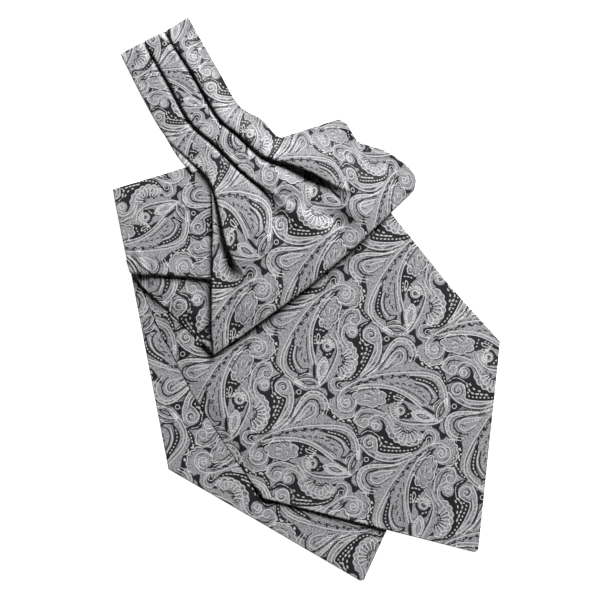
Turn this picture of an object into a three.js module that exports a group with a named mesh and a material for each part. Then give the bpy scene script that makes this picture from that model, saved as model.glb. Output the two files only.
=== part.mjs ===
import * as THREE from 'three';

// A silk cravat, folded in half at the middle of its pleated neckband and laid flat. The back half lies
// lowest, each blade is folded up once more, and the front half's pleats open out like a fan on top.
// Millimetres, +Z up, lying on z = 0, with the origin under the middle of its outline.

// Cloth
const WALL = 1.2; // a blade: two faces of silk with the interlining between them
const PLEAT_WALL = 1.0; // the pleated stretch of the front half
const BAND_WALL = 2; // the lower run of the neckband, its pleats pressed flat
const GAP = 0.3; // between layers, and between stretches at a seam
const LAYER = WALL + GAP;
const DRAPE = { from: 12, to: 30 }; // how far past the edge beneath a layer starts down, and lies flat again
const SILK = { color: 0x8f8f93, roughness: 0.55, metalness: 0 };

// The two pointed blade ends: where the tip lies, the way the axis runs from it, and the half widths left
// and right of the axis at each distance along it, from the tip to the hidden end.
const BACK_BLADE = {
  tip: [30.6, -154.2],
  heading: 107.6,
  outline: [
    { along: 0.6, left: 1.2, right: 1.2 },
    { along: 2.6, left: 3, right: 3 },
    { along: 90.3, left: 82.5, right: 82.5 },
    { along: 194, left: 70.2, right: 70.2 },
    { along: 244.4, left: 65.4, right: 64.8 },
  ],
};
const FRONT_BLADE = {
  tip: [93.2, -138.2],
  heading: 125.1,
  outline: [
    { along: 0.6, left: 1.2, right: 1.2 },
    { along: 2.6, left: 3, right: 3 },
    { along: 86.6, left: 74.7, right: 76.2 },
    { along: 91.6, left: 79, right: 75.8 },
    { along: 126, left: 78.7, right: 71.4 },
    { along: 160, left: 77.5, right: 69.2 },
    { along: 202, left: 71.7, right: 66.2 },
    { along: 229, left: 66, right: 64.6 },
  ],
};
const SECTION_STEP = 13; // between the sections of a blade
const BLADE_COLUMNS = 18; // across a blade

// The back blade turns over at the shoulder line, at its top.
const SHOULDER_FOLD = { radius: 1.6, back: 12 };

// The back blade's upper stretch, the flap: from the shoulder line to its lower fold.
const FLAP = {
  sections: [
    { left: [-105.6, 59.6], right: [-12.8, 87.4], leftHeight: 5.8, rightHeight: 5.6 },
    { left: [-101.2, 37], right: [-12.4, 50], leftHeight: 7.6, rightHeight: 7 },
    { left: [-96.6, 15.4], right: [-12, 9], leftHeight: 10, rightHeight: 8 },
  ],
  fold: { out: [0.302, -0.953], under: 5.5, back: 6 },
  columns: 14,
};

// The hidden turns of both blades, pressed together between the blade ends and the stretches above.
const INNER_FOLDS = {
  sections: [
    { left: [-99.4, 44.4], right: [20, 80] },
    { left: [-95.6, 27.6], right: [26, 74.6] },
    { left: [-91.6, 9.8], right: [31.5, 69] },
    { left: [-76, -5.6], right: [36, 64.4] },
    { left: [-60.9, -20.6], right: [40.2, 60.2] },
  ],
  edge: 1.6, // two layers at the edge
  groove: 0.8, // between those layers
  loft: { middle: [14, 48], reach: 30, height: 3.2 },
  columns: 16,
};

// The lower run of the neckband, from the fold at its top end to the shoulder line.
const BAND_LOWER = {
  sections: [
    { left: [-98.9, 130.4], right: [-63, 149.9], height: 0 },
    { left: [-87.6, 108], right: [-51, 126.6], height: 0.2 },
    { left: [-75.6, 87.6], right: [-38, 104.2], height: 1.2 },
    { left: [-67.2, 76.8], right: [-24.8, 95.8], height: 3.2 },
    { left: [-63.2, 73], right: [-14.6, 87.5], height: 4.9 },
  ],
  columns: 6,
};

// The front half from the neckband's top fold to the diagonal fold, a row for each section across it.
// side is the left edge and tuck how much of it is pushed back under; pleat1, pleat2, pleat3 are the fold
// edges of the three strips and right is the right edge. lap is how far each fold edge overlaps the strip
// beneath (negative where the pleat has opened into a slope), rise how high the edge stands above it and
// bend the radius of the folds. low is the height of the lower strips at the left and right, and end the
// height of the right edge.
const FRONT_HALF = [
  { side: [-103.9, 128], tuck: 6.5, pleat1: [-99.5, 130.4], pleat2: [-86.4, 137.5],
    pleat3: [-74.9, 143], right: [-62.7, 150.4],
    lap: [4, 4, 4], rise: [2.6, 2.6, 2.6], bend: 0.65, low: [3.6, 3.6], end: 3.7 },
  { side: [-93.6, 107.2], tuck: 6.5, pleat1: [-88.7, 109], pleat2: [-75.1, 118.6],
    pleat3: [-61.4, 123], right: [-49.7, 127.7],
    lap: [4, 4, 4], rise: [2.6, 2.7, 2.7], bend: 0.65, low: [3.7, 3.7], end: 3.9 },
  { side: [-81.2, 86.6], tuck: 6.5, pleat1: [-76.7, 88.8], pleat2: [-62.5, 96.5],
    pleat3: [-47.8, 99.6], right: [-36.9, 105.8],
    lap: [4, 4, 4], rise: [2.6, 2.7, 2.7], bend: 0.65, low: [5.2, 5], end: 5.2 },
  { side: [-68, 73.2], tuck: 6.5, pleat1: [-63.6, 75.7], pleat2: [-49, 84.2],
    pleat3: [-36.5, 89.5], right: [-24.3, 97.6],
    lap: [4, 4, 4], rise: [2.6, 2.7, 2.9], bend: 0.65, low: [8, 7.4], end: 7.3 },
  { side: [-55.4, 64.6], tuck: 2, pleat1: [-53.4, 65.2], pleat2: [-35.9, 70.8],
    pleat3: [-22.4, 77.6], right: [-13.7, 87.7],
    lap: [3.6, 3.6, 4], rise: [2.6, 2.8, 3.4], bend: 0.65, low: [8.6, 8.3], end: 7.5 },
  { side: [-51.8, 57.6], tuck: 0, pleat1: [-49.6, 57.4], pleat2: [-27.1, 63.6],
    pleat3: [-9, 73.5], right: [2.6, 93],
    lap: [3.2, 3, 4], rise: [2.8, 3, 4.2], bend: 0.65, low: [9, 8.4], end: 6.4 },
  { side: [-51.1, 46], tuck: 0, pleat1: [-46.6, 45.6], pleat2: [-20, 58.4],
    pleat3: [0.8, 69.7], right: [18.6, 96.8],
    lap: [2.8, 1, 4], rise: [3.4, 2.8, 4.6], bend: 0.65, low: [9.8, 8.6], end: 6 },
  { side: [-51.1, 32.6], tuck: 0, pleat1: [-43.6, 32], pleat2: [-11.7, 52],
    pleat3: [9, 65.4], right: [28, 86.6],
    lap: [2, -3, 3.6], rise: [3.8, 2.4, 4.6], bend: 0.7, low: [11, 8.8], end: 4.6 },
  { side: [-51.4, 19.6], tuck: 0, pleat1: [-38.6, 19.4], pleat2: [-3.8, 45.4],
    pleat3: [17, 60.6], right: [42.4, 80.6],
    lap: [0, -7, 2], rise: [3.4, 1.8, 4.2], bend: 0.8, low: [12, 9], end: 3.4 },
  { side: [-51.6, 7.5], tuck: 0, pleat1: [-33.6, 10.8], pleat2: [4.4, 38],
    pleat3: [25, 56.6], right: [53.4, 72.8],
    lap: [-7, -10, -1], rise: [1.8, 1.4, 3.6], bend: 0.9, low: [12.2, 9.2], end: 3.6 },
  { side: [-51.6, -6.2], tuck: 0, pleat1: [-34.6, 1.6], pleat2: [3, 28],
    pleat3: [27, 47.4], right: [57.8, 68.4],
    lap: [-9, -12, -7], rise: [0.8, 1, 2], bend: 1.2, low: [10.8, 9.2], end: 4.8 },
  { side: [-51.6, -19], tuck: 0, pleat1: [-35.6, -7.6], pleat2: [1.4, 17.4],
    pleat3: [28, 38.6], right: [57.2, 64.4],
    lap: [-9, -12, -9], rise: [0.6, 0.8, 1], bend: 1.2, low: [9.6, 9], end: 5.6 },
  { side: [-50.5, -30.2], tuck: 0, pleat1: [-34.8, -19.4], pleat2: [-0.4, 5.7],
    pleat3: [26, 28.2], right: [59.2, 58.4],
    lap: [-9, -12, -9], rise: [0.5, 0.6, 0.5], bend: 1.2, low: [9, 8.6], end: 6 },
];
const SHOULDER_ROW = 4; // the row where the neckband ends and the blade begins
const SEAM_SHARE = 0.024; // of a row, from that seam to the edge of each stretch
const DIAGONAL_FOLD = {
  outLeft: [0.703, -0.711],
  outMiddle: [0.63, -0.777],
  outRight: [0.9, -0.43],
  cornerTurn: 10, // the higher, the nearer the right corner the fold turns to outRight
  under: 4.1, // on the blades beneath
  underRight: 1.4, // past their edge
  cornerDrop: 28, // the higher, the nearer the right corner it comes down to underRight
  back: 9.4,
};

// The turn at the top of the neckband, from its upper run to its lower run.
const BAND_TURN = { left: [-99.54, 130.96], right: [-62.64, 150.96], top: 6.2, columns: 5, rows: 9 };
const PANEL_COLUMNS = 5; // points on the flat of each strip
const ARC_COLUMNS = 4; // points round each fold edge
const OPEN_PLEAT = 6; // the slope at which a pleat counts as fully open
const ROWS_PER_SECTION = 2;
const FOLD_STEPS = 6; // round each fold

const { degToRad, lerp, smoothstep } = THREE.MathUtils;

const mixPoint = (from, to, share) => [lerp(from[0], to[0], share), lerp(from[1], to[1], share)];
const between = (from, to) => Math.hypot(to[0] - from[0], to[1] - from[1]);
const step = (point, way, distance) => [point[0] + way[0] * distance, point[1] + way[1] * distance];
const unit = (from, to) => {
  const length = between(from, to);
  return [(to[0] - from[0]) / length, (to[1] - from[1]) / length];
};

// A smooth curve through a table's column, at a place between its rows.
function curve(values, place) {
  const row = Math.min(Math.floor(place), values.length - 2);
  const share = place - row;
  const before = values[Math.max(row - 1, 0)];
  const after = values[Math.min(row + 2, values.length - 1)];
  const [from, to] = [values[row], values[row + 1]];
  const slopeFrom = (to - before) / 2;
  const slopeTo = (after - from) / 2;
  const square = share * share;
  const cube = square * share;
  return (2 * cube - 3 * square + 1) * from + (cube - 2 * square + share) * slopeFrom
    + (3 * square - 2 * cube) * to + (cube - square) * slopeTo;
}

// One table row at a place between the rows: numbers and lists of numbers, each on its smooth curve.
function rowAt(table, place) {
  const row = {};
  for (const [key, value] of Object.entries(table[0])) {
    row[key] = Array.isArray(value)
      ? value.map((_, part) => curve(table.map((entry) => entry[key][part]), place))
      : curve(table.map((entry) => entry[key]), place);
  }
  return row;
}

// A closed shell between two grids of points, one above the other, with the rim rows of points between.
function shell(upper, lower, rims = []) {
  const rows = upper.length;
  const columns = upper[0].length;
  const positions = [];
  const indices = [];
  for (const grid of [upper, lower]) {
    for (const point of grid.flat()) positions.push(point.x, point.y, point.z);
  }
  const at = (layer, row, column) => (layer * rows + row) * columns + column;
  const quad = (a, b, c, d) => indices.push(a, b, c, a, c, d);
  for (let row = 0; row < rows - 1; row += 1) {
    for (let column = 0; column < columns - 1; column += 1) {
      quad(at(0, row, column), at(0, row + 1, column), at(0, row + 1, column + 1), at(0, row, column + 1));
      quad(at(1, row, column), at(1, row, column + 1), at(1, row + 1, column + 1), at(1, row + 1, column));
    }
  }
  const loop = [];
  for (let row = 0; row < rows - 1; row += 1) loop.push([row, 0]);
  for (let column = 0; column < columns - 1; column += 1) loop.push([rows - 1, column]);
  for (let row = rows - 1; row > 0; row -= 1) loop.push([row, columns - 1]);
  for (let column = columns - 1; column > 0; column -= 1) loop.push([0, column]);
  const rings = [loop.map(([row, column]) => at(0, row, column))];
  for (const rim of rims) {
    rings.push(loop.map(([row, column]) => {
      const point = rim(row, column);
      positions.push(point.x, point.y, point.z);
      return positions.length / 3 - 1;
    }));
  }
  rings.push(loop.map(([row, column]) => at(1, row, column)));
  for (let ring = 0; ring < rings.length - 1; ring += 1) {
    for (let place = 0; place < loop.length; place += 1) {
      const next = (place + 1) % loop.length;
      quad(rings[ring][place], rings[ring + 1][place], rings[ring + 1][next], rings[ring][next]);
    }
  }
  const geometry = new THREE.BufferGeometry();
  geometry.setAttribute('position', new THREE.Float32BufferAttribute(positions, 3));
  geometry.setIndex(indices);
  geometry.computeVertexNormals();
  return geometry;
}

// A cloth wall of one thickness on a grid of middle points, each row running left to right.
function clothWall(grid, thickness) {
  const rows = grid.length;
  const columns = grid[0].length;
  const along = new THREE.Vector3();
  const across = new THREE.Vector3();
  const offset = (side) => grid.map((row, r) => row.map((point, c) => {
    along.subVectors(grid[Math.min(r + 1, rows - 1)][c], grid[Math.max(r - 1, 0)][c]);
    across.subVectors(row[Math.min(c + 1, columns - 1)], row[Math.max(c - 1, 0)]);
    const normal = new THREE.Vector3().crossVectors(along, across).normalize();
    return normal.multiplyScalar((side * thickness) / 2).add(point);
  }));
  return shell(offset(1), offset(-1));
}

function cloth(name, geometry) {
  const mesh = new THREE.Mesh(geometry, new THREE.MeshStandardMaterial(SILK));
  mesh.name = name;
  return mesh;
}

// The two blade ends
function bladeFrame(blade) {
  const turn = degToRad(blade.heading);
  const axis = [Math.cos(turn), Math.sin(turn)];
  const side = [axis[1], -axis[0]];
  return (along, across) => step(step(blade.tip, axis, along), side, across);
}

function halfWidths(blade, along) {
  const { outline } = blade;
  const next = Math.max(outline.findIndex((row) => row.along >= along), 1);
  const [from, to] = [outline[next - 1], outline[next]];
  const share = (along - from.along) / (to.along - from.along);
  return { left: lerp(from.left, to.left, share), right: lerp(from.right, to.right, share) };
}

// How far a place lies inside a blade's outline, or outside it as a negative number.
function insideBlade(blade) {
  const place = bladeFrame(blade);
  const rightSide = blade.outline.map((row) => place(row.along, row.right));
  const leftSide = blade.outline.map((row) => place(row.along, -row.left)).reverse();
  const corners = [...rightSide, ...leftSide];
  const edges = corners.map((corner, index) => {
    const way = unit(corner, corners[(index + 1) % corners.length]);
    return { corner, inward: [-way[1], way[0]] };
  });
  return ([x, y]) => Math.min(...edges.map(({ corner, inward }) => (
    (x - corner[0]) * inward[0] + (y - corner[1]) * inward[1])));
}

const insideBack = insideBlade(BACK_BLADE);
const insideFront = insideBlade(FRONT_BLADE);
const lift = (inside) => LAYER * smoothstep(inside, -DRAPE.to, -DRAPE.from);
const overBack = (place) => lift(insideBack(place));
const overFront = (place) => lift(insideFront(place));

// The distances from the tip of a blade's sections, from its hidden end down.
function bladeSections(blade) {
  const places = [];
  const { outline } = blade;
  for (let row = outline.length - 1; row > 0; row -= 1) {
    const [far, near] = [outline[row].along, outline[row - 1].along];
    const parts = Math.max(Math.round((far - near) / SECTION_STEP), 1);
    for (let part = 0; part < parts; part += 1) places.push(lerp(far, near, part / parts));
  }
  places.push(outline[0].along);
  return places;
}

function bladeRow(blade, along, height) {
  const place = bladeFrame(blade);
  const widths = halfWidths(blade, along);
  return Array.from({ length: BLADE_COLUMNS }, (_, column) => {
    const across = lerp(-widths.left, widths.right, column / (BLADE_COLUMNS - 1));
    const point = place(along, across);
    return new THREE.Vector3(...point, height(point));
  });
}

function backBladeEnd() {
  const { radius, back } = SHOULDER_FOLD;
  const top = BACK_BLADE.outline.at(-1).along;
  const centre = top - radius - WALL / 2;
  const grid = [];
  for (const along of [centre - back, centre - back / 2]) {
    grid.push(bladeRow(BACK_BLADE, along, () => WALL / 2 + 2 * radius));
  }
  for (let turn = 0; turn <= FOLD_STEPS; turn += 1) {
    const angle = Math.PI / 2 - (turn / FOLD_STEPS) * Math.PI;
    const height = WALL / 2 + radius + radius * Math.sin(angle);
    grid.push(bladeRow(BACK_BLADE, centre + radius * Math.cos(angle), () => height));
  }
  for (const along of bladeSections(BACK_BLADE)) {
    if (along < centre) grid.push(bladeRow(BACK_BLADE, along, () => WALL / 2));
  }
  return cloth('back_blade_end', clothWall(grid, WALL));
}

function frontBladeEnd() {
  const height = (place) => WALL / 2 + overBack(place);
  const grid = bladeSections(FRONT_BLADE).map((along) => bladeRow(FRONT_BLADE, along, height));
  return cloth('front_blade_end', clothWall(grid, WALL));
}

// The rows of a fold: out and round from the row above, then back beneath it. out gives the way that each
// column turns, under the height of the cloth beneath.
function foldRows(edgeRow, out, under, back) {
  const rows = [];
  const turned = (column, share, inward) => {
    const point = edgeRow[column];
    const radius = (point.z - under(column)) / 2;
    const angle = share * Math.PI;
    const place = step([point.x, point.y], out(column), radius * (Math.sin(angle) - 1) - inward);
    return new THREE.Vector3(...place, under(column) + radius + radius * Math.cos(angle));
  };
  for (let turn = 0; turn <= FOLD_STEPS; turn += 1) {
    rows.push(edgeRow.map((_, column) => turned(column, turn / FOLD_STEPS, 0)));
  }
  for (const share of [0.5, 1]) {
    rows.push(edgeRow.map((_, column) => turned(column, 1, share * back)));
  }
  return rows;
}

function backBladeFlap() {
  const { sections, fold, columns } = FLAP;
  const rowOf = (place) => {
    const row = rowAt(sections, place);
    return Array.from({ length: columns }, (_, column) => {
      const share = column / (columns - 1);
      const height = lerp(row.leftHeight, row.rightHeight, share);
      return new THREE.Vector3(...mixPoint(row.left, row.right, share), height);
    });
  };
  const last = sections.length - 1;
  const grid = [];
  for (let row = 0; row < last * ROWS_PER_SECTION; row += 1) grid.push(rowOf(row / ROWS_PER_SECTION));
  const edge = rowOf(last).map((point) => {
    const radius = (point.z - fold.under) / 2;
    return new THREE.Vector3(...step([point.x, point.y], fold.out, radius), point.z);
  });
  grid.push(...foldRows(edge, () => fold.out, () => fold.under, fold.back));
  return cloth('back_blade_flap', clothWall(grid, WALL));
}

function innerFolds() {
  const { sections, edge, groove, loft, columns } = INNER_FOLDS;
  const upper = [];
  const lower = [];
  const middle = new THREE.Vector3(...loft.middle, 0);
  for (let place = 0; place <= sections.length - 1; place += 1 / ROWS_PER_SECTION) {
    const row = rowAt(sections, place);
    const points = Array.from({ length: columns }, (_, column) => (
      mixPoint(row.left, row.right, column / (columns - 1))));
    const under = points.map((point) => new THREE.Vector3(...point, overBack(point) + overFront(point)));
    lower.push(under);
    upper.push(under.map((point) => {
      const share = Math.hypot(point.x - middle.x, point.y - middle.y) / loft.reach;
      const raised = loft.height * smoothstep(1 - share, 0, 1);
      return new THREE.Vector3(point.x, point.y, point.z + edge + raised);
    }));
  }
  const centre = lower[Math.floor(lower.length / 2)][Math.floor(columns / 2)];
  const grooveRim = (row, column) => {
    const point = upper[row][column].clone().add(lower[row][column]).multiplyScalar(0.5);
    const inward = unit([point.x, point.y], [centre.x, centre.y]);
    return new THREE.Vector3(...step([point.x, point.y], inward, groove), point.z);
  };
  return cloth('inner_folds', shell(upper, lower, [grooveRim]));
}

function neckbandLower() {
  const { sections, columns } = BAND_LOWER;
  const grid = [];
  for (let place = 0; place <= sections.length - 1; place += 1 / ROWS_PER_SECTION) {
    const row = rowAt(sections, place);
    grid.push(Array.from({ length: columns }, (_, column) => {
      const point = mixPoint(row.left, row.right, column / (columns - 1));
      return new THREE.Vector3(...point, row.height + BAND_WALL / 2);
    }));
  }
  return cloth('neckband_lower', clothWall(grid, BAND_WALL));
}

// A knife pleat seen end on, as distances across the cloth and heights: round the hidden fold under the
// strip, back along the return and round the strip's own fold edge.
function pleatSection(edge, lap, lowHeight, rise, bend) {
  const hidden = [edge + lap, lowHeight + bend];
  const shown = [edge + bend, lowHeight + rise - bend];
  const apart = Math.max(between(hidden, shown), 2 * bend);
  const way = Math.atan2(shown[1] - hidden[1], shown[0] - hidden[0]);
  const leave = way - Math.acos((2 * bend) / apart);
  const round = (centre, angle) => step(centre, [Math.cos(angle), Math.sin(angle)], bend);
  const points = [];
  for (let turn = 0; turn < ARC_COLUMNS; turn += 1) {
    points.push(round(hidden, lerp(-Math.PI / 2, leave, turn / (ARC_COLUMNS - 1))));
  }
  points.push(mixPoint(points.at(-1), round(shown, leave + Math.PI), 0.5));
  for (let turn = 0; turn < ARC_COLUMNS; turn += 1) {
    points.push(round(shown, lerp(leave + Math.PI, Math.PI / 2, turn / (ARC_COLUMNS - 1))));
  }
  const open = smoothstep(-lap, 0, OPEN_PLEAT);
  return spread(points).map((point, index) => mixPoint(points[index], point, open));
}

// The same line with its points at even distances.
function spread(points) {
  const distances = [0];
  points.slice(1).forEach((point, index) => distances.push(distances[index] + between(points[index], point)));
  return points.map((_, index) => {
    const distance = (distances.at(-1) * index) / (points.length - 1);
    const next = Math.max(distances.findIndex((value) => value >= distance), 1);
    const share = (distance - distances[next - 1]) / (distances[next] - distances[next - 1]);
    return mixPoint(points[next - 1], points[next], share);
  });
}

// One section across the front half: four panels with a pleat between each two.
function frontHalfRow(place) {
  const row = rowAt(FRONT_HALF, place);
  const marks = [row.pleat1, row.pleat2, row.pleat3, row.right];
  const distances = [0];
  for (let mark = 1; mark < marks.length; mark += 1) {
    distances.push(distances[mark - 1] + between(marks[mark - 1], marks[mark]));
  }
  const width = distances.at(-1);
  const sideWay = unit(row.pleat1, row.side);
  const pointAt = (distance) => {
    if (distance < 0) return step(row.pleat1, sideWay, -distance);
    const mark = distances.findIndex((value) => value > distance);
    if (mark < 0) return step(row.right, unit(row.pleat3, row.right), distance - width);
    const share = (distance - distances[mark - 1]) / (distances[mark] - distances[mark - 1]);
    return mixPoint(marks[mark - 1], marks[mark], share);
  };
  const lowAt = (distance) => lerp(row.low[0], row.low[1], distance / width);
  const section = [[row.tuck - between(row.side, row.pleat1), lowAt(0)]];
  const addPanel = (to, lapBelow, lapAbove, columns) => {
    const from = section.at(-1);
    const clear = (lap) => Math.max((lap + row.bend + PLEAT_WALL) / (to[0] - from[0]), 0);
    const [level, landed] = [clear(lapBelow), 1 - clear(lapAbove)];
    for (let column = 1; column <= columns; column += 1) {
      const share = column / columns;
      section.push([lerp(from[0], to[0], share), lerp(from[1], to[1], smoothstep(share, level, landed))]);
    }
  };
  row.lap.forEach((lap, pleat) => {
    const edge = distances[pleat];
    const points = pleatSection(edge, lap, lowAt(edge), row.rise[pleat], row.bend);
    addPanel(points[0], pleat ? row.lap[pleat - 1] : 0, lap, PANEL_COLUMNS);
    section.push(...points.slice(1));
  });
  addPanel([width, row.end], row.lap.at(-1), -row.bend - PLEAT_WALL, 2 * PANEL_COLUMNS);
  return section.map(([distance, height]) => new THREE.Vector3(...pointAt(distance), height));
}

function neckbandUpper() {
  const grid = [];
  for (let place = 0; place < SHOULDER_ROW; place += 1 / ROWS_PER_SECTION) grid.push(frontHalfRow(place));
  grid.push(frontHalfRow(SHOULDER_ROW - SEAM_SHARE));
  return cloth('neckband_upper', clothWall(grid, PLEAT_WALL));
}

function neckbandTurn() {
  const { left, right, top, columns, rows } = BAND_TURN;
  const radius = (top - WALL / 2) / 2;
  const [acrossX, acrossY] = unit(left, right);
  const out = [-acrossY, acrossX];
  const grid = Array.from({ length: rows }, (_, row) => {
    const angle = (row / (rows - 1)) * Math.PI;
    return Array.from({ length: columns }, (__, column) => {
      const point = step(mixPoint(left, right, column / (columns - 1)), out, radius * Math.sin(angle));
      return new THREE.Vector3(...point, WALL / 2 + radius - radius * Math.cos(angle));
    });
  });
  return cloth('neckband_turn', clothWall(grid, WALL));
}

function frontBladeFan() {
  const { outLeft, outMiddle, outRight, cornerTurn, under, underRight, cornerDrop, back } = DIAGONAL_FOLD;
  const last = FRONT_HALF.length - 1;
  const grid = [frontHalfRow(SHOULDER_ROW + SEAM_SHARE)];
  for (let row = 1; row < (last - SHOULDER_ROW) * ROWS_PER_SECTION; row += 1) {
    grid.push(frontHalfRow(SHOULDER_ROW + row / ROWS_PER_SECTION));
  }
  const edge = frontHalfRow(last);
  const share = (column) => column / (edge.length - 1);
  const out = (column) => (
    mixPoint(mixPoint(outLeft, outMiddle, share(column)), outRight, share(column) ** cornerTurn));
  const height = (column) => lerp(under, underRight, share(column) ** cornerDrop);
  grid.push(...foldRows(edge, out, height, back));
  return cloth('front_blade_fan', clothWall(grid, PLEAT_WALL));
}

const cravat = new THREE.Group();
cravat.add(
  backBladeEnd(),
  frontBladeEnd(),
  innerFolds(),
  backBladeFlap(),
  neckbandLower(),
  neckbandTurn(),
  neckbandUpper(),
  frontBladeFan(),
);

export default cravat;
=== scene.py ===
# A silk cravat, woven with a silver grey and black paisley, folded in half at the middle of its pleated
# neckband and laid flat on a white surface. Sizes in the tables are millimetres.
import math

import bpy
import numpy as np
from mathutils.kdtree import KDTree
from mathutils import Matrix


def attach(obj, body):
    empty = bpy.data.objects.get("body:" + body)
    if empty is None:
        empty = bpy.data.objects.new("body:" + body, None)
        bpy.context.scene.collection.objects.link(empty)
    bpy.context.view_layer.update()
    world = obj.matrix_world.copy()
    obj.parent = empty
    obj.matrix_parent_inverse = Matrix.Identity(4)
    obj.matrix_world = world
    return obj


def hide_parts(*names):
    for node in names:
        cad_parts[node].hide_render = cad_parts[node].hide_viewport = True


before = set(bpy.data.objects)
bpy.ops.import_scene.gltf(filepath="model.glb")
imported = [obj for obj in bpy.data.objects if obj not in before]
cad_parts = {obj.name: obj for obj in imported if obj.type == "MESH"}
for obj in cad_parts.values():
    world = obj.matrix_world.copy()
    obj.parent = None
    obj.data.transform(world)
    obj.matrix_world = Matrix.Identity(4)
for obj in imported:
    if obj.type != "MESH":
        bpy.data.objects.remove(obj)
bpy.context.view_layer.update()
bpy.ops.object.select_all(action="DESELECT")

# The surface it lies on: a plain white sheet, lit from beneath so that hardly any shadow shows on it. The
# camera looks straight down, and one broad soft light stands beyond the neckband, a little to the right.
MM = 0.001
VIEW_WIDTH = 327.6
VIEW_MIDDLE = (-3.55, -0.71)
CAMERA_HEIGHT = 2000
SENSOR = 36

camera_data = bpy.data.cameras.new("camera")
camera_data.sensor_width = SENSOR
camera_data.lens = SENSOR * CAMERA_HEIGHT / VIEW_WIDTH
camera = bpy.data.objects.new("camera", camera_data)
camera.location = (VIEW_MIDDLE[0] * MM, VIEW_MIDDLE[1] * MM, CAMERA_HEIGHT * MM)
bpy.context.collection.objects.link(camera)
bpy.context.scene.camera = camera
bpy.context.scene.view_settings.view_transform = "Standard"

FLOOR_SIDE = 6000
PAPER_WHITE = (0.9, 0.9, 0.9, 1)
PURE_WHITE = (1, 1, 1, 1)
PAPER = {"roughness": 0.9, "specular": 0.1, "glow": 1}
bpy.ops.mesh.primitive_plane_add(size=FLOOR_SIDE * MM)
floor = bpy.context.object
floor.name = "white_surface"
white_paint = bpy.data.materials.new("white_surface")
white_paint.use_nodes = True
white_shader = white_paint.node_tree.nodes["Principled BSDF"]
white_shader.inputs["Base Color"].default_value = PAPER_WHITE
white_shader.inputs["Roughness"].default_value = PAPER["roughness"]
white_shader.inputs["Specular IOR Level"].default_value = PAPER["specular"]
white_shader.inputs["Emission Color"].default_value = PURE_WHITE
white_shader.inputs["Emission Strength"].default_value = PAPER["glow"]
floor.data.materials.append(white_paint)

WINDOW = {"place": (560, 1150, 1030), "side": 780, "power": 67}
ROOM_LIGHT = 0.03
window_data = bpy.data.lights.new("window", "AREA")
window_data.size = WINDOW["side"] * MM
window_data.energy = WINDOW["power"]
window = bpy.data.objects.new("window", window_data)
window.location = [distance * MM for distance in WINDOW["place"]]
window.rotation_euler = (-window.location).to_track_quat("-Z", "Y").to_euler()
bpy.context.collection.objects.link(window)
room = bpy.data.worlds.new("room")
room.use_nodes = True
room.node_tree.nodes["Background"].inputs["Color"].default_value = PURE_WHITE
room.node_tree.nodes["Background"].inputs["Strength"].default_value = ROOM_LIGHT
bpy.context.scene.world = room

# The silk: a jacquard with a paisley repeat in silver grey, white and black yarn. The repeat is charted
# here in flat cloth, from the heart of the great leaf's spiral, across and up the cloth. Every second row
# of leaves is turned over like a mirror image, and the whole chart leans a little on the loom.
REPEAT_WIDTH = 56
REPEAT_HEIGHT = 101
TURNED_ROW = (30, -50.5)
LEAN = math.radians(4)
CURVE_STEP = 0.2
CURVE_PARTS = 17
LEAF_PARTS = 40
ARC_PARTS = 60
SPIRAL_PARTS = 120
FLOWER_PARTS = 400
TAPER = 0.85
TINY = 1e-9


def even(path, spacing=CURVE_STEP):
    """The same line with its points at even distances."""
    path = np.asarray(path, float)
    runs = np.r_[0, np.cumsum(np.hypot(*np.diff(path, axis=0).T))]
    at = np.linspace(0, runs[-1], max(int(runs[-1] / spacing), 2) + 1)
    return np.c_[np.interp(at, runs, path[:, 0]), np.interp(at, runs, path[:, 1])]


def smooth(*points, closed=False):
    """A smooth line through points."""
    line = np.array(points, float)
    if closed:
        line = np.r_[line[-1:], line, line[:2]]
    else:
        line = np.r_[[2 * line[0] - line[1]], line, [2 * line[-1] - line[-2]]]
    t = np.linspace(0, 1, CURVE_PARTS)[:, None]
    runs = []
    for before, start, end, after in zip(line, line[1:], line[2:], line[3:]):
        runs.append(0.5 * (2 * start + (end - before) * t
                           + (2 * before - 5 * start + 4 * end - after) * t ** 2
                           + (3 * start - before - 3 * end + after) * t ** 3))
    return even(np.concatenate(runs))


def patch(*points):
    """A closed smooth line."""
    return smooth(*points, closed=True)


def around(centre, radius, angle):
    """Points at distances and angles round a centre."""
    return np.c_[centre[0] + radius * np.cos(angle), centre[1] + radius * np.sin(angle)]


def spiral(centre, outer, inner, start, turns):
    """A line that winds inwards from its start angle."""
    t = np.linspace(0, 1, SPIRAL_PARTS)
    radius = outer + (inner - outer) * t ** TAPER
    return even(around(centre, radius, math.radians(start) + math.tau * turns * t))


def ray(centre, inner, outer, angle):
    """A straight line outwards from a centre."""
    return even(around(centre, np.array([inner, outer]), np.array([angle, angle])))


def arc(centre, radius, start, end):
    """A part of a circle, between two angles in degrees."""
    return even(around(centre, radius, np.radians(np.linspace(start, end, ARC_PARTS))))


def sideways(path):
    """The direction to the right of a line at each of its points."""
    way = np.gradient(path, axis=0)
    way /= np.maximum(np.hypot(*way.T), TINY)[:, None]
    return np.c_[way[:, 1], -way[:, 0]]


def beside(path, distance):
    """A line at a distance to the right of another."""
    return path + sideways(path) * distance


def scalloped(path, count, depth):
    """A line with a count of round bulges to its right."""
    path = even(path, CURVE_STEP / 2)
    bulge = depth * np.abs(np.sin(np.pi * count * np.linspace(0, 1, len(path))))
    return even(path + sideways(path) * bulge[:, None])


def dashes(path, pitch, length=0.3, start=0.3):
    """Short stretches of a line, one for each pitch along it."""
    path = even(path, CURVE_STEP / 2)
    runs = np.arange(len(path)) * CURVE_STEP / 2
    starts = np.arange(start, runs[-1] - length, pitch)
    return [path[(runs >= at) & (runs <= at + length)] for at in starts]


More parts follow.
